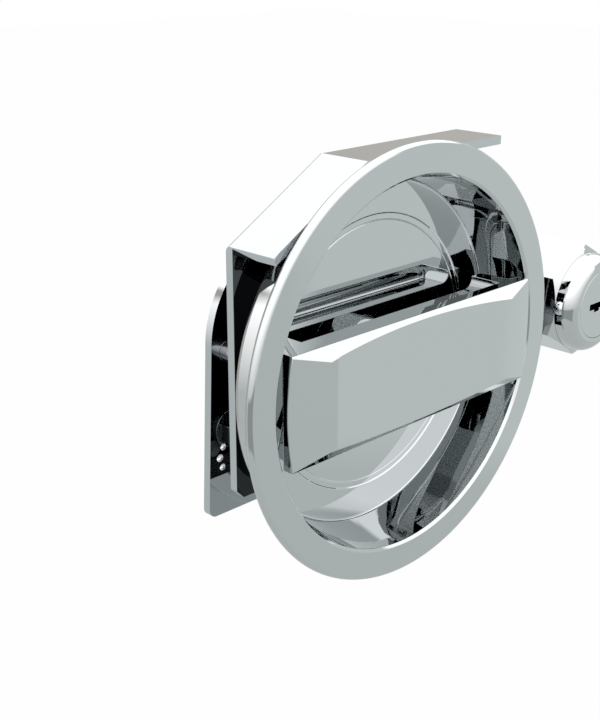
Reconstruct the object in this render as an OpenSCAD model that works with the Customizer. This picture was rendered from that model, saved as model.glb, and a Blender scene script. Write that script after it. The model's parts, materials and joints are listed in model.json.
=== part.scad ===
// Round flush cam latch: a chromed dish with a turning grip, a folded bracket behind it,
// an index disc between two plates, a latching cam and a separate key lock.
// The origin is the centre of the ring's front face. Y runs back through the door, Z is up.

/* [Ring and dish] */
// Outer radius of the flat face of the ring
ring_r = 50; // [47:0.5:56]
// Width of the flat face of the ring
ring_w = 6.1; // [4.5:0.05:7]
// Radius of the outer edge of the ring
ring_edge = 1.15; // [0.5:0.05:1.4]
// Depth from the ring's face to where its back meets the cup
ring_back = 6.2; // [5:0.1:6.4]
// How far the ring stands out past the cup
ring_over = 5.9; // [5:0.1:6.4]
// Width and depth of the bevel round the mouth of the dish
mouth_bevel = 0.6; // [0.4:0.05:1.3]
// Depth of the dish floor below the ring's face
dish_d = 13.4; // [12.8:0.1:16]
// How much the dish wall draws in between mouth and floor
dish_draft = 2.2; // [1:0.1:3]
// Fillet between the dish wall and the floor
dish_fillet = 0.6; // [0.3:0.1:1.5]
// Thickness of the dish floor
floor_t = 2.1; // [1.6:0.1:3]
// Radius where the wall of the cup turns into its sloping back corner
cup_corner = 2; // [1:0.1:3]
// Width of the sloping back corner of the cup
cup_chamfer = 3.5; // [2.5:0.1:4]
// Radius of the shallow round recess in the floor
recess_r = 31.5; // [28:0.5:34]
// Depth of that recess
recess_d = 0.7; // [0.2:0.05:0.8]
// Width of the bevel round that recess
recess_bevel = 1.5; // [0.8:0.1:2.5]

/* [Grip] */
// Running gap between each end of the grip and the mouth of the ring
grip_gap = 2.3; // [2:0.05:8]
// Height of the grip
grip_h = 25.8; // [22:0.2:30]
// Radius of the curved ends of the grip
grip_end_r = 62; // [50:1:90]
// How far the corners of the grip's face stand ahead of the ring
grip_proud = 3.25; // [2.4:0.05:5]
// Depth of the bevel round the grip's face
bevel_d = 2.25; // [1.4:0.05:2.4]
// Width of that bevel along the top and bottom edges
bevel_h = 2.85; // [2:0.05:4]
// Width of that bevel at the two ends
bevel_w = 10.5; // [5:0.1:12]
// Hollow of the grip's face, at its middle
face_hollow = 1.4; // [0.4:0.1:1.6]
// Thickness of the lip in front of the finger grooves
lip_t = 2.75; // [2:0.05:4]
// Depth of the finger grooves
groove_d = 2.9; // [2.6:0.1:4]
// Length of the finger grooves
groove_l = 65; // [50:0.5:68]
// Fillet inside the finger grooves
groove_fillet = 2.5; // [1:0.1:2.5]
// Gap between the back of the grip and the dish floor
grip_back_gap = 3.25; // [2:0.05:5]
// How far each end of the grip draws in towards its back
grip_end_draw = 5.7; // [4:0.1:7]
// Radius of the neck under the grip
neck_r = 8.3; // [7.6:0.1:11]
// Running gap between the neck and the recess in the floor
neck_gap = 0.3; // [0.2:0.05:0.5]

/* [Spindle] */
// Radius of the spindle's round journal
journal_r = 6; // [5.8:0.1:6.6]
// Width across the spindle's square
square_w = 8; // [6:0.1:8.2]
// Running clearance of the journal in its bush, on the radius
run_gap = 0.05; // [0.03:0.01:0.08]
// Clearance of the square in its seats, on each side
square_gap = 0.05; // [0.03:0.01:0.1]
// Wall of the spindle bush
bush_wall = 1.4; // [1:0.1:2]
// Radius of the bush flange
bush_flange_r = 10; // [8.8:0.1:11]
// Thickness of the bush flange
bush_flange_t = 1; // [0.6:0.1:1.2]
// Thickness of the friction washer
friction_t = 0.4; // [0.3:0.05:0.6]
// Radius of the thread at the back of the spindle
stub_r = 3; // [2.5:0.5:3]
// Length of the thread past the cam nut
stub_past = 1.5; // [0.5:0.5:4]

/* [Bracket and back plate] */
// Thickness of the sheet
sheet_t = 2; // [1.6:0.1:2.4]
// Width of the main plate
plate_w = 82; // [80:0.5:86]
// Height of the main plate below the spindle
plate_low = 24.3; // [23.5:0.1:30]
// Gap between the cup and the top flange
flange_gap = 2; // [1:0.05:3]
// Gap between the cup and the sloping side flange
side_gap = 2.55; // [1:0.05:3.5]
// Slope of the side flange
side_slope = 30.15; // [28:0.05:34]
// Where the sloping flange ends, measured down its slope
side_end = 19.3; // [17:0.1:20]
// Where the top flange ends, to the right of the spindle
flange_right = 32; // [25:0.1:37]
// Distance from the ring's face to the front edge of the flanges
flange_front = 3.3; // [3:0.1:5]
// Gap between the back of the ring and the flanges
ring_gap = 0.4; // [0.3:0.05:1]
// Outside radius of the folds
fold_out_r = 1.2; // [0.8:0.1:2.5]
// Inside radius of the folds
fold_in_r = 0.8; // [0.4:0.1:1.2]
// Half height of the lock arm
arm_h = 12; // [11:0.25:13]
// Gap between the main plate and the back plate
plate_gap = 5; // [4.9:0.05:6.5]
// Width of the back plate
back_w = 82.6; // [80:0.2:86]
// Height of the back plate above the spindle
back_high = 31.5; // [30:0.5:36]
// Height of the back plate below the spindle
back_low = 30.8; // [29:0.2:36]
// Radius of the two upper corners of the back plate
back_corner = 23; // [18:0.5:24]
// How much each side of the back plate flares out at the bottom
back_flare = 1.7; // [0:0.1:2.5]
// Radius of the small plate corners
small_corner = 2; // [1:0.25:3]
// Radius of the spacer studs
spacer_r = 2.3; // [2.2:0.1:2.8]
// Radius of the back plate screws
back_screw_r = 1.5; // [1:0.25:1.5]
// Radius of the tapped fixing holes in the back plate
fixing_r = 2.1; // [1.6:0.1:2.6]
// Distance of the fixing holes from the spindle, sideways
fixing_x = 33; // [31:0.5:34]
// Distance of the fixing holes from the spindle, up and down
fixing_z = 20; // [18:0.5:21]
// Radius of the cast studs on the back of the cup
stud_r = 2; // [1.5:0.5:2]
// Radius of the circle through the cast studs
stud_circle = 35; // [34.5:0.25:36]

/* [Index disc and cam] */
// Radius of the index disc
disc_r = 24; // [21:0.5:25]
// Thickness of the index disc
disc_t = 3; // [2:0.1:3.2]
// Depth of the notches in its rim
notch_d = 4.2; // [3.5:0.1:5]
// Turn of the grip between its two stops
turn_deg = 90; // [90:1:95]
// Radius of the stop pin
stop_r = 2; // [1.5:0.1:2.5]
// Radius from the spindle to the stop pin
stop_circle = 14; // [13:0.25:15]
// Reach of the latching cam from the spindle
cam_reach = 48; // [35:0.5:60]
// Width of the latching cam at the spindle
cam_w = 18; // [15:0.5:24]
// Width of the latching cam at its tip
cam_tip_w = 13; // [8:0.5:15]
// Thickness of the latching cam
cam_t = 3; // [2:0.25:5]

/* [Key lock] */
// Distance from the spindle to the lock
lock_x = 69.2; // [68:0.2:74]
// Height of the lock above the spindle
lock_z = 0.6; // [0:0.1:1]
// How far the lock's face stands ahead of the ring's face
lock_proud = 4.2; // [3.8:0.1:6]
// Turn of the lock's barrel in the arm
lock_roll = 3; // [0:1:8]
// Radius of the lock's head
head_r = 13; // [12.6:0.1:13.1]
// Depth from the ring's face to the front of the hexagon
hex_front = 0.9; // [0.5:0.05:2]
// Width across the flats of the hexagon
hex_af = 26.2; // [26:0.1:28]
// Radius of the plug's face
plug_face_r = 8.9; // [8:0.1:9.2]
// Radius of the plug behind its face
plug_r = 6.5; // [6:0.1:6.6]
// Radius of the barrel where it passes the arm
barrel_r = 9.5; // [9:0.1:9.8]
// Radius of the steel ball
ball_r = 2.3; // [1.8:0.05:2.4]
// Height of the window over the ball
window_h = 8.5; // [7:0.1:9.5]
// Travel of the locking slide
slide_travel = 4; // [3:0.1:4.4]
// Radius of the drive pin on the plug
drive_pin_r = 1.5; // [1.2:0.1:1.6]
// Half width of the locking slide
slide_half_w = 4; // [3.5:0.1:4]
// Thickness of the locking slide
slide_t = 2; // [1.5:0.1:2.2]
// Radius of the slide rivets
rivet_r = 2; // [1.5:0.1:2.2]

/* [Hidden] */
$fn = 96;
e = 1;

// Clearances between pieces
loose = 0.3;
snug = 0.05;
flush = 0.1;

// Radii of the dish and the cup
mouth_r = ring_r - ring_w;
wall_top_r = mouth_r - mouth_bevel;
floor_r = wall_top_r - dish_draft;
cup_r = ring_r - ring_over;

// Stations along Y, from the ring's face to the back
recess_y = dish_d + recess_d;
cup_back = dish_d + floor_t;
plate_back = cup_back + sheet_t;
back_front = plate_back + plate_gap;
back_back = back_front + sheet_t;
flange_back = plate_back + bush_flange_t;
friction_y = flange_back + flush;
disc_y = friction_y + friction_t + flush;
disc_back = disc_y + disc_t;
cam_y = back_back + 1;
cam_back = cam_y + cam_t;
cam_washer_t = 1;
cam_nut_t = 5;
nut_y = cam_back + cam_washer_t;
spindle_end = nut_y + cam_nut_t + stub_past;

// Grip
grip_half = mouth_r - grip_gap;
grip_face_y = -grip_proud;
rim_y = grip_face_y + bevel_d;
lip_back = rim_y + lip_t;
grip_back = dish_d - grip_back_gap;
neck_back = recess_y - neck_gap;
body_half_h = grip_h / 2 - groove_d;
face_half = grip_half - bevel_w;
hollow_r = (face_half * face_half + face_hollow * face_hollow) / (2 * face_hollow);
socket_y = 2;
shoulder_y = neck_back - 1.4;
set_screw_r = 2;
set_screw_y = (lip_back + grip_back) / 2;

// Spindle bush and rear bush
bush_in = journal_r + run_gap;
bush_out = bush_in + bush_wall;
rear_bush_r = 7;
square_hole = square_w + 2 * square_gap;

// Distances of the outer faces of the two flanges from the spindle
top_out = cup_r + flange_gap + sheet_t;
side_out = cup_r + side_gap + sheet_t;

// Places of the studs, spacers and stop pin, as X and Z
stud_angles = [45, 135, 202];
stud_len = plate_gap + sheet_t - loose;
spacer_places = [[-36.8, 7.4], [36.8, 7.4], [-22, -20.5], [22, -20.5], [0, 28.5]];
stop_deg = 225;
small_holes = [[-38.6, -14.6, 0.8], [-39.6, -17, 0.9], [-38.9, -19.4, 0.8]];

// Nuts and washers
nut_t = 3.2;
washer_t = 0.8;
screw_l = plate_gap - 1.5;

// Lock and slide
barrel_back = plate_back + 1.7;
plug_back = barrel_back + flush;
slide_y = plug_back + flush;
slide_back = slide_y + slide_t;
crank_r = slide_travel / 2 / sin(45);
drive_x = crank_r * sin(45);
drive_z = -crank_r * cos(45);
slide_tip = disc_r + 1;
tip_half_w = slide_half_w - 1;
rivet_places = [lock_x - 23.2, lock_x - 14.2];
rivet_head_t = 1.1;
rivet_head = 0.75 * rivet_r;
clip_t = 0.9;
hex_r = hex_af / 2 / cos(30);
head_step_y = -2;
face_rim = 0.5;
ball_x = head_r - ball_r + 0.3;
ball_y = 0.3;
window_front = -1.2;
yoke_wall = 2.5;

// A round bar along Y from y0 to y1, at x and z
module rod(r, y0, y1, x = 0, z = 0) {
    translate([x, y0, z]) rotate([-90, 0, 0]) cylinder(r = r, h = y1 - y0);
}

// A cone along Y, from radius r0 at y0 to radius r1 at y1
module cone(r0, r1, y0, y1, x = 0, z = 0) {
    translate([x, y0, z]) rotate([-90, 0, 0]) cylinder(r1 = r0, r2 = r1, h = y1 - y0);
}

// A hexagonal bar along Y with its corners up and down
module hex_bar(across, y0, y1, x = 0, z = 0) {
    translate([x, y0, z]) rotate([-90, 30, 0]) cylinder(r = across / 2 / cos(30), h = y1 - y0, $fn = 6);
}

// A square bar along Y
module square_bar(w, y0, y1) {
    translate([-w / 2, y0, -w / 2]) cube([w, y1 - y0, w]);
}

// A sheet of thickness t whose outline is drawn in X and Z, from y0 back
module sheet(y0, t) {
    translate([0, y0 + t, 0]) rotate([90, 0, 0]) linear_extrude(height = t) children();
}

// A solid turned about Y: its profile is drawn as radius and depth
module turned() {
    rotate([-90, 0, 0]) rotate_extrude() children();
}

// Points on an arc, from angle a0 to a1
function arc(cx, cy, r, a0, a1, n) =
    [for (i = [0 : n]) [cx + r * cos(a0 + (a1 - a0) * i / n), cy + r * sin(a0 + (a1 - a0) * i / n)]];

// Ring and dish in one casting, with three studs on its back
module bezel_cup() {
    edge_x = ring_r + ring_edge / 4 - ring_edge / 2;
    slope = atan2(ring_back - 2 * ring_edge, ring_over);
    corner_y = cup_back - cup_chamfer - cup_corner * tan(22.5);
    outside = concat(
        arc(edge_x, ring_edge, ring_edge, -90, 90 - slope, 12),
        [[cup_r, ring_back]],
        arc(cup_r - cup_corner, corner_y, cup_corner, 0, 45, 6),
        [[cup_r - cup_chamfer, cup_back]]
    );
    inside = concat(
        [[bush_out + snug, cup_back], [bush_out + snug, recess_y], [recess_r, recess_y],
         [recess_r + recess_bevel, dish_d]],
        arc(floor_r - dish_fillet, dish_d - dish_fillet, dish_fillet, 90, 10, 6),
        [[wall_top_r, mouth_bevel], [mouth_r, 0]]
    );
    color("silver") {
        turned() polygon(concat(outside, inside));
        for (a = stud_angles)
            rod(stud_r, cup_back - e, cup_back + stud_len, stud_circle * cos(a), stud_circle * sin(a));
    }
}

// Finger groove: rounded at its front and at both ends, with mitred corners
module groove_cut() {
    floor_z = body_half_h;
    depth = grip_back - lip_back + e;
    half = groove_l / 2;
    f = groove_fillet;
    intersection() {
        union() {
            translate([-half + f, lip_back, floor_z]) cube([2 * (half - f), depth, grip_h]);
            translate([-half, lip_back, floor_z + f]) cube([2 * half, depth, grip_h]);
            for (s = [-1, 1]) rod(f, lip_back, lip_back + depth, s * (half - f), floor_z + f);
        }
        union() {
            translate([-half, lip_back + f, floor_z]) cube([2 * half, depth, grip_h]);
            translate([-half, lip_back, floor_z + f]) cube([2 * half, depth, grip_h]);
            translate([-half, lip_back + f, floor_z + f]) rotate([0, 90, 0]) cylinder(r = f, h = 2 * half);
        }
    }
}

// Body of the grip: its front outline, its side outline and its plan, cut from one another
module grip_block() {
    half_h = grip_h / 2;
    far = grip_end_r - grip_half;
    draw_y = (rim_y + grip_back) * 0.55;
    plan = [
        [face_half, grip_face_y], [grip_half, rim_y], [grip_half, rim_y + 1.2],
        [grip_half - grip_end_draw * 0.8, draw_y], [grip_half - grip_end_draw, grip_back],
        [-grip_half + grip_end_draw, grip_back], [-grip_half + grip_end_draw * 0.8, draw_y],
        [-grip_half, rim_y + 1.2], [-grip_half, rim_y], [-face_half, grip_face_y]
    ];
    side = [
        [grip_face_y, half_h - bevel_h], [rim_y, half_h], [grip_back, half_h],
        [grip_back, -half_h], [rim_y, -half_h], [grip_face_y, -half_h + bevel_h]
    ];
    intersection() {
        translate([0, 0, -half_h]) linear_extrude(height = grip_h) polygon(plan);
        translate([-grip_half, 0, 0]) rotate([90, 0, 90]) linear_extrude(height = 2 * grip_half) polygon(side);
        rod(grip_end_r, grip_face_y - e, grip_back + e, -far);
        rod(grip_end_r, grip_face_y - e, grip_back + e, far);
    }
}

// Turning grip with a hollowed face, finger grooves and a round neck
module handle() {
    color("gainsboro") difference() {
        union() {
            grip_block();
            rod(neck_r, grip_back - e, neck_back);
        }
        translate([0, grip_face_y + face_hollow - hollow_r, -grip_h])
            cylinder(r = hollow_r, h = 2 * grip_h, $fn = 720);
        groove_cut();
        mirror([0, 0, 1]) groove_cut();
        square_bar(square_hole, socket_y, shoulder_y + e);
        rod(journal_r + snug, shoulder_y, neck_back + e);
        translate([0, set_screw_y, -grip_h]) cylinder(r = set_screw_r + snug, h = grip_h);
    }
}

// Grub screw that holds the grip on the spindle, driven from the lower groove
module handle_set_screw() {
    socket_w = 2;
    top = -square_w / 2 - snug;
    low = -body_half_h + 0.5;
    color("dimgray") translate([0, set_screw_y, 0]) difference() {
        translate([0, 0, low]) cylinder(r = set_screw_r, h = top - low);
        translate([0, 0, low - e]) cylinder(r = socket_w / 2 / cos(30), h = 2 + e, $fn = 6);
    }
}

// Spindle: square in the grip, round in the bush, square in the disc and cam, then a thread
module spindle() {
    color("lightslategray") {
        square_bar(square_w, socket_y + flush, shoulder_y + e);
        rod(journal_r, shoulder_y + flush, disc_y);
        square_bar(square_w, disc_y - e, cam_back - flush);
        rod(stub_r, cam_back - e, spindle_end);
    }
}

// Flanged bush through the dish floor and the main plate
module spindle_bush() {
    color("goldenrod") difference() {
        union() {
            rod(bush_out, recess_y, plate_back + e / 2);
            rod(bush_flange_r, plate_back, flange_back);
        }
        rod(bush_in, recess_y - e, flange_back + e);
    }
}

// Washer that gives the grip its friction
module friction_washer() {
    color("ivory") difference() {
        rod(bush_flange_r - 0.5, friction_y, friction_y + friction_t);
        rod(bush_in, friction_y - e, friction_y + friction_t + e);
    }
}

// A long block whose top is at the height given, with a rounded upper back corner
module long_block(top, corner_r, y0, y1) {
    section = concat(
        [[y0, -2 * top], [y0, top]],
        arc(y1 - corner_r, top - corner_r, corner_r, 90, 0, 10),
        [[y1, -2 * top]]
    );
    translate([-2 * ring_r, 0, 0]) rotate([90, 0, 90])
        linear_extrude(height = 4 * ring_r) polygon(section);
}

// What lies under the top flange and under the sloping one, less a sheet's thickness or none
module under_both(inset, corner_r, y0, y1) {
    intersection() {
        long_block(top_out - inset, corner_r, y0, y1);
        rotate([0, -side_slope, 0]) long_block(side_out - inset, corner_r, y0, y1);
    }
}

// What is cut off the flanges: the sloping end, and room for the ring's tapered back
module flange_cuts() {
    rotate([0, -side_slope, 0])
        translate([-side_end - ring_r, flange_front - e, side_out - 2 * sheet_t])
            cube([ring_r, cup_back - flange_front + e, 2 * sheet_t + e]);
    cone(ring_r + 2 * ring_gap, cup_r + 2 * ring_gap, 2 * ring_edge, ring_back);
}

// Bracket: main plate with a top flange, a sloping side flange and an arm for the lock
module mounting_bracket() {
    half = plate_w / 2;
    c = small_corner;
    shoulder_z = top_out - 14;
    outline = [
        [-half, -plate_low + c], [-half + c, -plate_low], [half - c, -plate_low],
        [half, -plate_low + c], [half, shoulder_z], [flange_right, top_out - 2 * sheet_t],
        [flange_right, top_out + e], [-half, top_out + e]
    ];
    color("silver") difference() {
        intersection() {
            difference() {
                under_both(0, fold_out_r, flange_front, plate_back);
                under_both(sheet_t, fold_in_r, flange_front - e, cup_back);
                flange_cuts();
            }
            sheet(flange_front - e, plate_back - flange_front + 2 * e) {
                polygon(outline);
                translate([half - e, lock_z - arm_h]) square([lock_x - half + e, 2 * arm_h]);
                translate([lock_x, lock_z]) circle(r = arm_h);
            }
        }
        rod(bush_out + snug, cup_back - e, plate_back + e);
        for (a = stud_angles)
            rod(stud_r + loose, cup_back - e, plate_back + e, stud_circle * cos(a), stud_circle * sin(a));
        for (p = spacer_places) rod(spacer_r - 0.8, cup_back - e, plate_back + e, p[0], p[1]);
        rod(1.3, cup_back - e, plate_back + e, stop_circle * cos(stop_deg), stop_circle * sin(stop_deg));
        for (x = rivet_places) rod(rivet_r + snug, cup_back - e, plate_back + e, x);
        rod(barrel_r + snug, cup_back - e, plate_back + e, lock_x, lock_z);
    }
}

// Washers under the nuts of the cup's studs
module cup_washers() {
    color("silver") for (a = stud_angles) difference() {
        rod(2.2 * stud_r, plate_back, plate_back + washer_t, stud_circle * cos(a), stud_circle * sin(a));
        rod(stud_r + snug, plate_back - e, plate_back + washer_t + e, stud_circle * cos(a), stud_circle * sin(a));
    }
}

// Nuts that draw the cup and the bracket together
module cup_nuts() {
    y0 = plate_back + washer_t;
    color("silver") for (a = stud_angles) difference() {
        hex_bar(3.5 * stud_r, y0, y0 + nut_t, stud_circle * cos(a), stud_circle * sin(a));
        rod(stud_r + snug, y0 - e, y0 + nut_t + e, stud_circle * cos(a), stud_circle * sin(a));
    }
}

// Index disc: two notches for the locking slide and an arc slot for the stop pin
module index_disc() {
    slot_half = stop_r + loose;
    notch_half = tip_half_w + 0.4;
    color("darkgray") difference() {
        rod(disc_r, disc_y, disc_back);
        square_bar(square_hole, disc_y - e, disc_back + e);
        for (a = [0, -90]) rotate([0, a, 0]) translate([disc_r - notch_d, disc_y - e, -notch_half])
            cube([notch_d + e, disc_t + 2 * e, 2 * notch_half]);
        translate([0, disc_y - e, 0]) rotate([-90, 0, 0])
            rotate([0, 0, -stop_deg - turn_deg]) rotate_extrude(angle = turn_deg)
                translate([stop_circle - slot_half, 0]) square([2 * slot_half, disc_t + 2 * e]);
        for (a = [stop_deg, stop_deg + turn_deg])
            rod(slot_half, disc_y - e, disc_back + e, stop_circle * cos(a), stop_circle * sin(a));
    }
}

// Stop pin riveted between the plates
module stop_pin() {
    x = stop_circle * cos(stop_deg);
    z = stop_circle * sin(stop_deg);
    color("gray") {
        rod(stop_r, plate_back, back_front, x, z);
        rod(1.25, cup_back + flush, back_back - flush, x, z);
    }
}

// Spacer studs between the plates, tapped at the back
module spacer_studs() {
    color("darkgray") for (p = spacer_places) difference() {
        union() {
            rod(spacer_r, plate_back, back_front, p[0], p[1]);
            rod(spacer_r - 0.85, cup_back + flush, plate_back + e, p[0], p[1]);
        }
        rod(back_screw_r + snug, back_front - 4, back_front + e, p[0], p[1]);
    }
}

// Outline of the back plate: large upper corners and sides that flare downwards
module back_outline() {
    half = back_w / 2;
    c = small_corner;
    corner_z = back_high - back_corner;
    low_half = half + back_flare;
    for (s = [-1, 1]) {
        translate([s * (half - back_corner), corner_z]) circle(r = back_corner);
        translate([s * (low_half - c), -back_low + c]) circle(r = c);
    }
    translate([-half + back_corner, 0]) square([2 * (half - back_corner), back_high]);
    polygon([
        [-half, corner_z], [-low_half, -back_low + c], [-low_half + c, -back_low],
        [low_half - c, -back_low], [low_half, -back_low + c], [half, corner_z]
    ]);
}

// Back plate with the cam bearing, countersunk screws and four tapped fixing holes
module back_plate() {
    color("silver") difference() {
        sheet(back_front, sheet_t) back_outline();
        rod(rear_bush_r + run_gap, back_front - e, back_back + e);
        for (p = spacer_places) {
            rod(back_screw_r + 0.1, back_front - e, back_back + e, p[0], p[1]);
            cone(back_screw_r, 2 * back_screw_r + e, back_back - back_screw_r, back_back + e, p[0], p[1]);
        }
        rod(1.3, back_front - e, back_back + e, stop_circle * cos(stop_deg), stop_circle * sin(stop_deg));
        for (x = [-fixing_x, fixing_x]) for (z = [-fixing_z, fixing_z])
            rod(fixing_r, back_front - e, back_back + e, x, z);
        for (h = small_holes) for (s = [-1, 1])
            rod(h[2], back_front - e, back_back + e, s * h[0], h[1]);
    }
}

// Countersunk screws that hold the back plate on the spacers
module back_plate_screws() {
    r = back_screw_r;
    color("gray") for (p = spacer_places) difference() {
        union() {
            rod(r, back_front - screw_l, back_back - r + 0.1, p[0], p[1]);
            cone(r - snug, 2 * r - 2 * snug, back_back - r, back_back - snug, p[0], p[1]);
        }
        for (a = [0, 90]) translate([p[0], back_back - 0.8, p[1]]) rotate([0, a, 0])
            translate([-r, 0, -0.25]) cube([2 * r, e, 0.5]);
    }
}

// Bush that turns in the back plate and spaces the cam off it
module rear_bush() {
    color("goldenrod") difference() {
        rod(rear_bush_r, disc_back, cam_y);
        square_bar(square_hole, disc_back - e, cam_y + e);
    }
}

// Latching cam: a tapered arm with a chamfered tip
module latch_cam() {
    root_h = cam_w / 2 - 1;
    tip_h = cam_tip_w / 2;
    c = small_corner;
    lead = cam_t / 2;
    color("darkgray") difference() {
        union() {
            rod(cam_w / 2, cam_y, cam_back);
            sheet(cam_y, cam_t) polygon([
                [1, root_h], [cam_reach - c, tip_h], [cam_reach, tip_h - c],
                [cam_reach, c - tip_h], [cam_reach - c, -tip_h], [1, -root_h]
            ]);
        }
        square_bar(square_hole, cam_y - e, cam_back + e);
        translate([cam_reach, cam_y + lead, 0]) rotate([0, 0, 30])
            translate([-cam_reach / 2, -2 * cam_t, -cam_w]) cube([cam_reach, 2 * cam_t, 2 * cam_w]);
    }
}

// Washer under the cam nut
module cam_washer() {
    color("silver") difference() {
        rod(2.2 * stub_r, cam_back, nut_y);
        rod(stub_r + snug, cam_back - e, nut_y + e);
    }
}

// Hexagon nut that clamps the cam
module cam_nut() {
    color("silver") difference() {
        intersection() {
            hex_bar(10 * stub_r / 3, nut_y, nut_y + cam_nut_t);
            cone(6.4 * stub_r / 3 + cam_nut_t, 5.1 * stub_r / 3, nut_y, nut_y + cam_nut_t);
        }
        rod(stub_r + snug, nut_y - e, nut_y + cam_nut_t + e);
    }
}

// Locking slide: its tip enters a notch of the disc, its yoke holds the drive pin
module lock_slide() {
    yoke_x = lock_x + drive_x;
    slot_half = rivet_r + 0.3;
    first = rivet_places[0];
    last = rivet_places[1] + slide_travel;
    pin_slot = drive_pin_r + 0.3;
    yoke_low = lock_z - crank_r - drive_pin_r - 0.6;
    color("lightsteelblue") difference() {
        sheet(slide_y, slide_t) {
            translate([slide_tip + 1, -tip_half_w]) square([12, 2 * tip_half_w]);
            polygon([
                [slide_tip, -tip_half_w + 1], [slide_tip + 1, -tip_half_w],
                [slide_tip + 1, tip_half_w], [slide_tip, tip_half_w - 1]
            ]);
            translate([slide_tip + 8, -slide_half_w])
                square([yoke_x - slide_tip - 8 + pin_slot, 2 * slide_half_w]);
            translate([yoke_x - pin_slot - yoke_wall, yoke_low - yoke_wall])
                square([2 * (pin_slot + yoke_wall), slide_half_w - yoke_low + yoke_wall]);
        }
        for (x = [first, last]) rod(slot_half, slide_y - e, slide_back + e, x);
        translate([first, slide_y - e, -slot_half]) cube([last - first, slide_t + 2 * e, 2 * slot_half]);
        translate([yoke_x - pin_slot, slide_y - e, yoke_low])
            cube([2 * pin_slot, slide_t + 2 * e, -yoke_low + 0.1]);
    }
}

// Shouldered rivets that guide the slide on the arm
module slide_rivets() {
    color("gray") for (x = rivet_places) {
        rod(rivet_r, cup_back + flush, slide_back + flush + 0.5, x);
        rod(rivet_r + 0.8 * rivet_head, plate_back, slide_y - flush, x);
        rod(rivet_r + rivet_head, slide_back + flush, slide_back + flush + rivet_head_t, x);
    }
}

// Lock barrel: domed head, hexagon that seats on the arm, and a grooved tail
module lock_barrel() {
    face = plug_face_r + snug;
    dome = head_r - face - face_rim;
    flat_z = barrel_r - 1.3;
    profile = concat(
        [[face, -lock_proud], [face + face_rim, -lock_proud]],
        arc(head_r - dome, -lock_proud + dome, dome, -90, 0, 10),
        [[head_r, hex_front + 1], [barrel_r, hex_front + 1], [barrel_r, barrel_back],
         [plug_r + snug, barrel_back], [plug_r + snug, head_step_y], [face, head_step_y]]
    );
    color("silver") translate([lock_x, 0, lock_z]) rotate([0, lock_roll, 0]) difference() {
        union() {
            turned() polygon(profile);
            difference() {
                intersection() {
                    hex_bar(hex_af, hex_front, cup_back);
                    cone(hex_af / 2, hex_af / 2 + 1.45 * cup_back, hex_front, hex_front + cup_back);
                }
                rod(barrel_r - 0.5, hex_front - e, cup_back + e);
            }
        }
        for (s = [-1, 1]) translate([-barrel_r, plate_back, s > 0 ? flat_z : -barrel_r])
            cube([2 * barrel_r, clip_t + flush, barrel_r - flat_z]);
        translate([-ball_x, ball_y, 0]) sphere(r = ball_r + 0.15);
        translate([-head_r - e, window_front, -window_h / 2])
            cube([head_r + e - plug_r - 0.6, hex_front - window_front, window_h]);
    }
}

// Lock plug: keyway in its face, eccentric drive pin on its tail
module lock_plug() {
    key_l = 9;
    key_w = 1.6;
    color("gainsboro") translate([lock_x, 0, lock_z]) difference() {
        union() {
            rod(plug_face_r, -lock_proud, head_step_y - flush);
            rod(plug_r, head_step_y - e, plug_back);
            rod(drive_pin_r, plug_back - e, slide_back + 1.6, drive_x, drive_z);
        }
        translate([-key_l / 2, -lock_proud - e, -key_w / 2]) cube([key_l, 13, key_w]);
        translate([-key_l / 2 + 2.2, -lock_proud - e, -key_w / 2 - 0.8]) cube([2.4, 13, 1]);
        translate([key_l / 2 - 3.6, -lock_proud - e, key_w / 2 - 0.2]) cube([1.8, 13, 1]);
    }
}

// Steel ball behind the window of the lock's head
module lock_ball() {
    color("gainsboro") translate([lock_x, ball_y, lock_z]) rotate([0, lock_roll, 0])
        translate([-ball_x, 0, 0]) sphere(r = ball_r);
}

// Horseshoe clip that holds the barrel against the arm
module lock_clip() {
    flat_z = barrel_r - 1.3 + flush;
    clip_r = barrel_r + 2.6;
    color("darkgray") translate([lock_x, 0, lock_z]) rotate([0, lock_roll, 0]) difference() {
        rod(clip_r, plate_back, plate_back + clip_t);
        translate([-clip_r - e, plate_back - e, -flat_z]) cube([clip_r + e, clip_t + 2 * e, 2 * flat_z]);
        intersection() {
            rod(barrel_r + flush, plate_back - e, plate_back + clip_t + e);
            translate([-clip_r, plate_back - e, -flat_z]) cube([2 * clip_r, clip_t + 2 * e, 2 * flat_z]);
        }
    }
}

// Clip that keeps the slide on the drive pin
module drive_pin_clip() {
    y0 = slide_back + flush;
    color("gray") difference() {
        rod(2 * drive_pin_r, y0, y0 + 0.7, lock_x + drive_x, lock_z + drive_z);
        rod(drive_pin_r + snug, y0 - e, y0 + 2, lock_x + drive_x, lock_z + drive_z);
    }
}

bezel_cup();
handle();
handle_set_screw();
spindle();
spindle_bush();
friction_washer();
mounting_bracket();
cup_washers();
cup_nuts();
index_disc();
stop_pin();
spacer_studs();
back_plate();
back_plate_screws();
rear_bush();
latch_cam();
cam_washer();
cam_nut();
lock_slide();
slide_rivets();
lock_barrel();
lock_plug();
lock_ball();
lock_clip();
drive_pin_clip();
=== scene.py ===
"""Looks for the flush cam latch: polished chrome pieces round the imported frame, in a light tent.

The frame's origin is the centre of the ring's face. +X points to the key lock, +Y back through the
door and +Z up. Lengths are in metres, unless a name or its comment says mm.
"""

import json
import math

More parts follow.
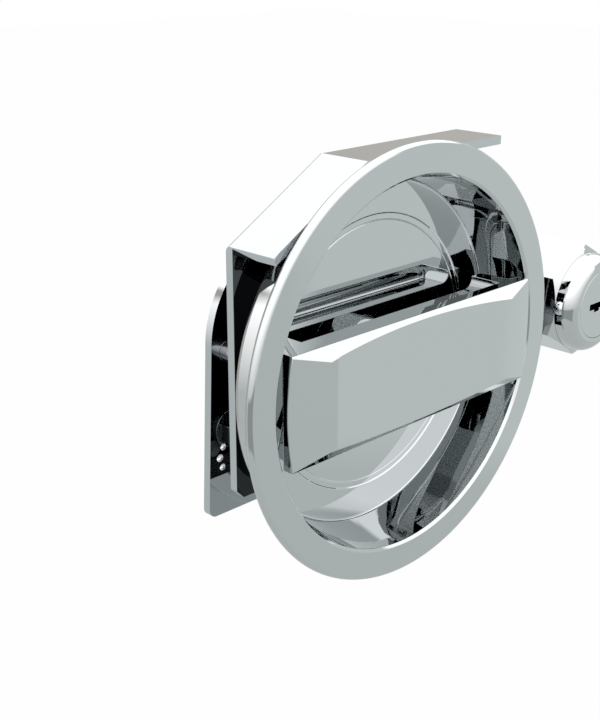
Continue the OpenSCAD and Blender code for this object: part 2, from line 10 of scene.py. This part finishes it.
import bpy
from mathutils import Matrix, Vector

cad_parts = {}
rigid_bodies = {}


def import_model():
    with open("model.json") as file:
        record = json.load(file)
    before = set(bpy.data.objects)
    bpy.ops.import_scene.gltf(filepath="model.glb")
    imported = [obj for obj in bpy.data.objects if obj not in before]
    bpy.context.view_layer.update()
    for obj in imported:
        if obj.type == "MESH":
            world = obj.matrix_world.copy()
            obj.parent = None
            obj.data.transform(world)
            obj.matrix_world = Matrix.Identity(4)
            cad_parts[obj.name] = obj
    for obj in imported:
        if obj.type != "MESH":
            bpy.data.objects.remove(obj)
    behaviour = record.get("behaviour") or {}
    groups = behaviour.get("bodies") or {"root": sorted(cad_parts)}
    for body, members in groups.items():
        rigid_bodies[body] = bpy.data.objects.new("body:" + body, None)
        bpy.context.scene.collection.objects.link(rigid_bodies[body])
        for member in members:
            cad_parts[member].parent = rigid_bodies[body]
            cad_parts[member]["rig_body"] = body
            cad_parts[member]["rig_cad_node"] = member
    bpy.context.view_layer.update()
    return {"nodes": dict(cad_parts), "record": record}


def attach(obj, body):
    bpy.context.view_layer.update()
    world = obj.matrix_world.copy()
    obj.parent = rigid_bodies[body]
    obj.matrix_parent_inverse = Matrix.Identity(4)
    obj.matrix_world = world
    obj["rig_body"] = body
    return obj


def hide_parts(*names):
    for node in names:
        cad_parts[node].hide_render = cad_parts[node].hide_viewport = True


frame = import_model()

MM = 0.001

# The dish and its recess, in mm: as in the part's source, then the land and the groove made here.
# The groove is as deep as half its width.
DISH_Y = 13.4
RECESS_Y = 14.1
RECESS_R = 31.5
RECESS_RIM_R = 33.0
LAND_Y = 13.7
GROOVE_HALF = 0.16
GROOVE_FLOOR_HALF = 0.4 * GROOVE_HALF
CIRCLE_SLACK = 0.03
RECESS_SLACK = 0.02

# Finished copies: points this close merge (mm), flats this flat join, edges this sharp are eased
MERGE_MM = 0.002
FLAT_DEGREES = 0.2
CREASE_DEGREES = 24

# The eased edge of each node's copy, in mm
EDGE_MM = {
    "bezel_cup": 0.12,
    "handle": 0.3,
    "mounting_bracket": 0.2,
    "back_plate": 0.2,
    "lock_barrel": 0.25,
    "lock_plug": 0.15,
    "lock_slide": 0.15,
    "latch_cam": 0.3,
    "index_disc": 0.2,
    "cup_nuts": 0.12,
    "cup_washers": 0.12,
    "cam_nut": 0.2,
    "cam_washer": 0.15,
    "spacer_studs": 0.15,
    "slide_rivets": 0.2,
    "rear_bush": 0.15,
    "spindle": 0.15,
    "spindle_bush": 0.15,
    "back_plate_screws": 0.06,
    "lock_clip": 0.12,
    "drive_pin_clip": 0.1,
    "stop_pin": 0.12,
    "handle_set_screw": 0.1,
    "friction_washer": 0.08,
    "lock_ball": 0,
}

# Smudges on metal: their size in mm, and the noise levels where they start and are whole
SMUDGE_MM = 14
SMUDGE_RANGE = (0.35, 0.75)

# The nylon's cloudy spots, in mm
CLOUD_MM = 3

# Painted shade on the bracket's inner faces between the plates, darkening them nearly to black.
# Each pair says where the painted shade has gone and where it is whole: by place, then by the
# share of a face's normal that lies along Y.
PAINTED_SHADE_COLOUR = "#3E4042"
DARK_FROM_Y = (0.012, 0.014)
DARK_BELOW_Z = (0.030, 0.020)
DARK_BESIDE_ARM_X = (0.052, 0.040)
FACES_FRONT = (-0.5, -0.9)
LIES_FLAT = (0.8, 0.95)

# Camera, fitted to the ring's two ellipses in the photograph
CAMERA_PLACE = Vector((-0.1984, -0.1622, 0.0937))
CAMERA_AZIMUTH = -44.85
CAMERA_ELEVATION = 19.83
CAMERA_LENS = 60.15
CAMERA_NEAR = 0.01
SENSOR = 36.0

# Studio: a white floor far below, and a light tent that only reflections see
FLOOR_Z = -0.45
FLOOR_SIZE = 12
FLOOR_WHITE_SHARE = 0.9
TENT_R = 2.6
TENT_SEGMENTS = 96
TENT_RINGS = 48
TENT_GROUND_Z = -0.44
TENT_GLOW = 1.8
COOL = "#F8FFFE"
PLAIN = "#FFFFFF"
IVORY = "#FFFBF4"
# The tent's cloth: degrees above the horizon, brightness, tint
TENT_CLOTH = [(-90, 0.7, COOL), (-15, 0.75, COOL), (0, 1.2, PLAIN), (20, 1.8, PLAIN)]
# Flat cards hung in it: azimuth from the back towards the lock, half width, lowest and highest
# place, all in degrees, then brightness and tint
TENT_CARDS = [
    (98, 36, -24, 22, 0.84, COOL),
    (10, 48, -26, 27, 0.6, IVORY),
    (-120, 50, -30, -12, 0.45, COOL),
]
CARD_EDGE = 3

# The Mix node's colour sockets, which share their names with its other kinds
COLOUR_A = 6
COLOUR_B = 7
MIXED_COLOUR = 2


def linear(hex_colour):
    """An sRGB hex colour as linear red, green, blue and alpha."""
    parts = [int(hex_colour[i : i + 2], 16) / 255 for i in (1, 3, 5)]
    return [c / 12.92 if c <= 0.04045 else ((c + 0.055) / 1.055) ** 2.4 for c in parts] + [1.0]


def add(tree, kind, links=(), **settings):
    """Adds a shader node. A setting named after a socket sets it, any other the node's property."""
    made = tree.nodes.new(kind)
    for name, value in settings.items():
        socket = made.inputs.get(name.replace("_", " "))
        if socket is not None:
            socket.default_value = value
        else:
            setattr(made, name, value)
    for name, source in links:
        tree.links.new(source, made.inputs[name])
    return made


def fade(tree, source, gone, whole):
    """0 where the value is at or past gone, 1 at or past whole."""
    edge = add(tree, "ShaderNodeMapRange", [("Value", source)], From_Min=gone, From_Max=whole)
    return edge.outputs["Result"]


def join(tree, first, second, how="MULTIPLY"):
    """Two values joined by one operation of the Math node."""
    return add(tree, "ShaderNodeMath", [(0, first), (1, second)], operation=how).outputs[0]


def empty_material(name):
    """A material without any node yet."""
    material = bpy.data.materials.new(name)
    material.use_nodes = True
    material.node_tree.nodes.clear()
    return material


def metal(name, colour, roughness, grain_mm=0.0, lift_mm=0.0, stretch=(1, 1, 1), smudge=0.02):
    """A metal: a mirror-like base, faint waviness from polishing or drawing, and wiped smudges."""
    material = empty_material(name)
    tree = material.node_tree
    place = add(tree, "ShaderNodeTexCoord").outputs["Object"]
    shader = add(tree, "ShaderNodeBsdfPrincipled", Base_Color=linear(colour), Metallic=1.0)
    size = 1 / (SMUDGE_MM * MM)
    smears = add(tree, "ShaderNodeTexNoise", [("Vector", place)], Scale=size, Detail=3.0)
    spread = add(
        tree,
        "ShaderNodeMapRange",
        [("Value", smears.outputs["Fac"])],
        From_Min=SMUDGE_RANGE[0],
        From_Max=SMUDGE_RANGE[1],
        To_Min=roughness,
        To_Max=roughness + smudge,
    )
    tree.links.new(spread.outputs["Result"], shader.inputs["Roughness"])
    if grain_mm:
        along = add(tree, "ShaderNodeMapping", [("Vector", place)], Scale=stretch).outputs["Vector"]
        waves = add(tree, "ShaderNodeTexNoise", [("Vector", along)], Scale=1 / (grain_mm * MM))
        height = [("Height", waves.outputs["Fac"])]
        bump = add(tree, "ShaderNodeBump", height, Strength=1.0, Distance=lift_mm * MM)
        tree.links.new(bump.outputs["Normal"], shader.inputs["Normal"])
    surface = [("Surface", shader.outputs["BSDF"])]
    add(tree, "ShaderNodeOutputMaterial", surface, is_active_output=True)
    return material


def paint_shade_between_plates(material):
    """Paints shade into the base colour of the bracket's inner faces between the plates, nearly to
    black.
    """
    tree = material.node_tree
    shader = next(n for n in tree.nodes if n.type == "BSDF_PRINCIPLED")
    place = next(n for n in tree.nodes if n.type == "TEX_COORD")
    spot = add(tree, "ShaderNodeSeparateXYZ", [("Vector", place.outputs["Object"])]).outputs
    normal = add(tree, "ShaderNodeSeparateXYZ", [("Vector", place.outputs["Normal"])])
    facing = normal.outputs["Y"]
    flat_on = add(tree, "ShaderNodeMath", [(0, facing)], operation="ABSOLUTE").outputs[0]
    front = fade(tree, facing, *FACES_FRONT)
    covered = join(tree, front, fade(tree, spot["Z"], *DARK_BELOW_Z), "MAXIMUM")
    main_plate = join(tree, fade(tree, flat_on, *LIES_FLAT), fade(tree, spot["Y"], *DARK_FROM_Y))
    off_the_arm = fade(tree, spot["X"], *DARK_BESIDE_ARM_X)
    dark = join(tree, join(tree, covered, main_plate), off_the_arm)
    # The painted shade: the base colour is mixed towards near black where the mask is whole
    mix = add(tree, "ShaderNodeMix", [("Factor", dark)], data_type="RGBA")
    mix.inputs[COLOUR_A].default_value = shader.inputs["Base Color"].default_value
    mix.inputs[COLOUR_B].default_value = linear(PAINTED_SHADE_COLOUR)
    tree.links.new(mix.outputs[MIXED_COLOUR], shader.inputs["Base Color"])
    return material


def nylon():
    """Moulded nylon washer: milky and slightly waxy."""
    material = bpy.data.materials.new("moulded nylon")
    material.use_nodes = True
    tree = material.node_tree
    shader = tree.nodes["Principled BSDF"]
    place = add(tree, "ShaderNodeTexCoord").outputs["Object"]
    cloud = add(tree, "ShaderNodeTexNoise", [("Vector", place)], Scale=1 / (CLOUD_MM * MM))
    tint = add(tree, "ShaderNodeValToRGB", [("Fac", cloud.outputs["Fac"])])
    tint.color_ramp.elements[0].color = linear("#DDD6C4")
    tint.color_ramp.elements[1].color = linear("#ECE7DA")
    tree.links.new(tint.outputs["Color"], shader.inputs["Base Color"])
    shader.inputs["Roughness"].default_value = 0.45
    return material


# Chrome over polished zinc casting: a clean mirror with a cold tint, slightly wavy
CAST_CHROME = metal(
    "polished chrome on zinc casting", "#C4C7C8", 0.02, grain_mm=9, lift_mm=0.0015, smudge=0.015
)
# The same plate on rolled sheet: a mirror that is a little flatter and duller
SHEET = {"colour": "#C2C5C7", "roughness": 0.025, "grain_mm": 12, "lift_mm": 0.001, "smudge": 0.015}
SHEET_CHROME = metal("bright chrome on steel sheet", **SHEET)
# The bracket's sheet: the same mirror outside, with painted shade making it nearly black between the
# plates
BRACKET_CHROME = paint_shade_between_plates(metal("bright chrome on folded sheet with painted shade", **SHEET))
# Turned and plated lock parts: a clean mirror
LOCK_CHROME = metal("polished chrome on turned brass", "#C5C7C8", 0.02, smudge=0.015)
# Bright zinc on screws, studs and nuts: satin, with drawn lines
DRAWN = {"grain_mm": 0.8, "lift_mm": 0.004, "stretch": (1, 0.1, 1)}
ZINC_PLATE = metal("bright zinc plate", "#94989B", 0.16, **DRAWN)
# Turned steel pins: soft shine with fine lathe lines round the axis
TURNED = {"grain_mm": 0.6, "lift_mm": 0.004, "stretch": (0.2, 1, 0.2)}
TURNED_STEEL = metal("turned steel", "#A9ABAD", 0.14, **TURNED)
# Blackened set screw: a dark spot with a dull, grainy shine
BLACK_STEEL = metal("blackened steel", "#2B2B2D", 0.32, grain_mm=0.7, lift_mm=0.006)
# Tempered clips: darker and duller than the plated parts they hold
SPRING_STEEL = metal("tempered spring steel", "#6E6F72", 0.22, grain_mm=0.7, lift_mm=0.004)
# The lock's ball: one small, clear highlight in its window
BALL_STEEL = metal("polished bearing steel", "#C9CBCD", 0.05)
# Machined bushes: a warm yellow ring among the chrome, with turned lines
BUSH_BRASS = metal("machined brass", "#C9A45C", 0.2, **TURNED)

FINISHES = {
    "chromed_casting": CAST_CHROME,
    "chromed_grip": CAST_CHROME,
    "chromed_sheet": SHEET_CHROME,
    "chromed_barrel": LOCK_CHROME,
    "chromed_plug": LOCK_CHROME,
    "turned_steel": TURNED_STEEL,
    "dark_steel": BLACK_STEEL,
    "plated_steel": ZINC_PLATE,
    "spring_steel": SPRING_STEEL,
    "steel_ball": BALL_STEEL,
    "bush_brass": BUSH_BRASS,
    "washer_nylon": nylon(),
}
SLOT_OF = {part["node"]: part["material_slot"] for part in frame["record"]["subparts"]}
BODIES = frame["record"]["behaviour"]["bodies"]
BODY_OF = {node: body for body, nodes in BODIES.items() for node in nodes}


def only(piece):
    """Selects one object and makes it active."""
    bpy.ops.object.select_all(action="DESELECT")
    piece.select_set(True)
    bpy.context.view_layer.objects.active = piece


def paint(piece, material):
    """Gives a piece this material and no other."""
    piece.data.materials.clear()
    piece.data.materials.append(material)


def circle_edges(piece, radius_mm, depth_mm):
    """Selects the edges of one turned circle round the spindle's axis, in edge mode."""
    bpy.context.tool_settings.mesh_select_mode = (False, True, False)
    mesh = piece.data

    def on_it(index):
        x, y, z = mesh.vertices[index].co
        off_radius = abs(math.hypot(x, z) - radius_mm * MM)
        return off_radius < CIRCLE_SLACK * MM and abs(y - depth_mm * MM) < CIRCLE_SLACK * MM

    for part in (mesh.polygons, mesh.edges, mesh.vertices):
        part.foreach_set("select", [False] * len(part))
    for edge in mesh.edges:
        edge.select = on_it(edge.vertices[0]) and on_it(edge.vertices[1])


def bevel_circle(piece, radius_mm, depth_mm, segments):
    """Bevels one turned circle by the groove's half width."""
    circle_edges(piece, radius_mm, depth_mm)
    bpy.ops.object.mode_set(mode="EDIT")
    bpy.ops.mesh.bevel(offset=GROOVE_HALF * MM, segments=segments, affect="EDGES")
    bpy.ops.object.mode_set(mode="OBJECT")


def turn_recess(piece):
    """Turns the recess as the real one: a low step, a narrow flat land and a fine groove in it."""
    bevel_circle(piece, RECESS_R, RECESS_Y, segments=2)
    bevel_circle(piece, RECESS_RIM_R, DISH_Y, segments=1)
    for point in piece.data.vertices:
        radius = math.hypot(point.co.x, point.co.z) / MM
        depth = point.co.y / MM
        if radius < RECESS_RIM_R - RECESS_SLACK and DISH_Y < depth < RECESS_Y + RECESS_SLACK:
            in_groove = abs(radius - RECESS_R) < GROOVE_FLOOR_HALF
            point.co.y = (LAND_Y + (GROOVE_HALF if in_groove else 0)) * MM


def make_eased(node, edge_mm):
    """Makes a node's finished copy: merged, its flats made one face each, its sharp edges eased."""
    only(frame["nodes"][node])
    bpy.ops.object.duplicate()
    piece = bpy.context.view_layer.objects.active
    piece.parent = None
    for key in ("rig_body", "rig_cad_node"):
        del piece[key]
    piece.name = node + "_finished"
    bpy.ops.object.mode_set(mode="EDIT")
    bpy.ops.mesh.select_all(action="SELECT")
    bpy.ops.mesh.remove_doubles(threshold=MERGE_MM * MM)
    bpy.ops.mesh.dissolve_limited(angle_limit=math.radians(FLAT_DEGREES))
    bpy.ops.object.mode_set(mode="OBJECT")
    if node == "bezel_cup":
        turn_recess(piece)
    if edge_mm:
        ease = piece.modifiers.new("eased edges", "BEVEL")
        ease.width = edge_mm * MM
        ease.segments = 3
        ease.limit_method = "ANGLE"
        ease.angle_limit = math.radians(CREASE_DEGREES)
        ease.miter_outer = "MITER_ARC"
        bpy.ops.object.modifier_apply(modifier=ease.name)
    bpy.ops.object.shade_smooth()
    even = piece.modifiers.new("even flats", "WEIGHTED_NORMAL")
    even.weight = 100
    bpy.ops.object.modifier_apply(modifier=even.name)
    paint(piece, BRACKET_CHROME if node == "mounting_bracket" else FINISHES[SLOT_OF[node]])
    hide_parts(node)
    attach(piece, BODY_OF[node])


# Every node takes its slot's finish, and then each is replaced by its finished copy
for node_name, node_object in frame["nodes"].items():
    paint(node_object, FINISHES[SLOT_OF[node_name]])
for node_name, edge in EDGE_MM.items():
    make_eased(node_name, edge)


def glow_level(level, tint):
    """A tent colour as its share of the full glow."""
    return [c * level / TENT_GLOW for c in linear(tint)[:3]] + [1.0]


def card_share(tree, sideways, rise, azimuth, half, low, high):
    """1 where a card hangs and 0 beside it, with a soft edge of CARD_EDGE degrees."""
    turn = math.radians(azimuth)
    towards = add(tree, "ShaderNodeVectorMath", [(0, sideways)], operation="DOT_PRODUCT")
    towards.inputs[1].default_value = (math.sin(turn), math.cos(turn), 0)
    beside, side = (math.cos(math.radians(d)) for d in (half + CARD_EDGE, half))
    heights = (low - CARD_EDGE, low, high + CARD_EDGE, high)
    under, foot, over, top = (math.sin(math.radians(d)) for d in heights)
    across = fade(tree, towards.outputs["Value"], beside, side)
    upright = join(tree, fade(tree, rise, under, foot), fade(tree, rise, over, top))
    return join(tree, across, upright)


def tent_material():
    """Lit cloth of a light tent: white above, grey towards the ground, with three flat grey cards."""
    material = empty_material("light tent cloth")
    tree = material.node_tree
    place = add(tree, "ShaderNodeTexCoord").outputs["Object"]
    look = add(tree, "ShaderNodeVectorMath", [(0, place)], operation="NORMALIZE")
    parts = add(tree, "ShaderNodeSeparateXYZ", [("Vector", look.outputs["Vector"])]).outputs
    flat = add(tree, "ShaderNodeCombineXYZ", [("X", parts["X"]), ("Y", parts["Y"])])
    flat_vector = [(0, flat.outputs["Vector"])]
    sideways = add(tree, "ShaderNodeVectorMath", flat_vector, operation="NORMALIZE")
    rise = parts["Z"]
    cloth = add(tree, "ShaderNodeValToRGB", [("Fac", fade(tree, rise, -1, 1))])
    marks = cloth.color_ramp.elements
    while len(marks) < len(TENT_CLOTH):
        marks.new(1.0)
    for mark, (degrees, brightness, tint) in zip(marks, TENT_CLOTH):
        mark.position = (1 + math.sin(math.radians(degrees))) / 2
        mark.color = glow_level(brightness, tint)
    shown = cloth.outputs["Color"]
    for azimuth, half, low, high, brightness, tint in TENT_CARDS:
        share = card_share(tree, sideways.outputs["Vector"], rise, azimuth, half, low, high)
        mix = add(tree, "ShaderNodeMix", [("Factor", share)], data_type="RGBA")
        tree.links.new(shown, mix.inputs[COLOUR_A])
        mix.inputs[COLOUR_B].default_value = glow_level(brightness, tint)
        shown = mix.outputs[MIXED_COLOUR]
    glow = add(tree, "ShaderNodeEmission", [("Color", shown)], Strength=TENT_GLOW)
    add(tree, "ShaderNodeOutputMaterial", [("Surface", glow.outputs["Emission"])])
    return material


def floor_material():
    """Pale floor: white to the camera, with a trace of the object's shadow. The tent hides it
    from the metal."""
    material = empty_material("pale studio floor")
    tree = material.node_tree
    ray = add(tree, "ShaderNodeLightPath").outputs
    seen = join(tree, ray["Is Camera Ray"], ray["Is Glossy Ray"], "MAXIMUM")
    seen = join(tree, seen, ray["Is Transmission Ray"], "MAXIMUM")
    share = add(tree, "ShaderNodeMath", [(0, seen)], operation="MULTIPLY")
    share.inputs[1].default_value = FLOOR_WHITE_SHARE
    paper = add(tree, "ShaderNodeBsdfDiffuse", Color=linear("#F4F4F4"))
    white = add(tree, "ShaderNodeEmission", Color=linear(PLAIN), Strength=1.0)
    layers = [("Fac", share.outputs[0]), (1, paper.outputs[0]), (2, white.outputs[0])]
    mixed = add(tree, "ShaderNodeMixShader", layers)
    add(tree, "ShaderNodeOutputMaterial", [("Surface", mixed.outputs[0])])
    return material


bpy.ops.object.select_all(action="DESELECT")
bpy.ops.mesh.primitive_plane_add(size=FLOOR_SIZE, location=(0, 0, FLOOR_Z))
floor = bpy.context.view_layer.objects.active
floor.name = "floor"
paint(floor, floor_material())

bpy.ops.object.select_all(action="DESELECT")
bpy.ops.mesh.primitive_uv_sphere_add(
    segments=TENT_SEGMENTS, ring_count=TENT_RINGS, radius=TENT_R
)
tent = bpy.context.view_layer.objects.active
tent.name = "light_tent"
ground = {"plane_co": (0, 0, TENT_GROUND_Z), "plane_no": (0, 0, 1)}
bpy.ops.object.mode_set(mode="EDIT")
bpy.ops.mesh.select_all(action="SELECT")
bpy.ops.mesh.bisect(clear_inner=True, use_fill=True, **ground)
bpy.ops.object.mode_set(mode="OBJECT")
tent.visible_camera = False
tent.visible_diffuse = False
tent.visible_shadow = False
paint(tent, tent_material())

world = bpy.data.worlds.new("studio")
world.use_nodes = True
bpy.context.scene.world = world
sky = world.node_tree
sky.nodes.clear()
glow = add(sky, "ShaderNodeBackground", Color=linear(PLAIN), Strength=1.0)
add(sky, "ShaderNodeOutputWorld", [("Surface", glow.outputs[0])])

camera_data = bpy.data.cameras.new("camera")
camera = bpy.data.objects.new("camera", camera_data)
bpy.context.scene.collection.objects.link(camera)
camera_data.lens = CAMERA_LENS
camera_data.sensor_width = SENSOR
camera_data.clip_start = CAMERA_NEAR
camera.location = CAMERA_PLACE
azimuth, elevation = math.radians(CAMERA_AZIMUTH), math.radians(CAMERA_ELEVATION)
reach = math.cos(elevation)
back = Vector((math.sin(azimuth) * reach, -math.cos(azimuth) * reach, math.sin(elevation)))
camera.rotation_euler = back.to_track_quat("Z", "Y").to_euler()
bpy.context.scene.camera = camera
bpy.context.scene.view_settings.view_transform = "Standard"
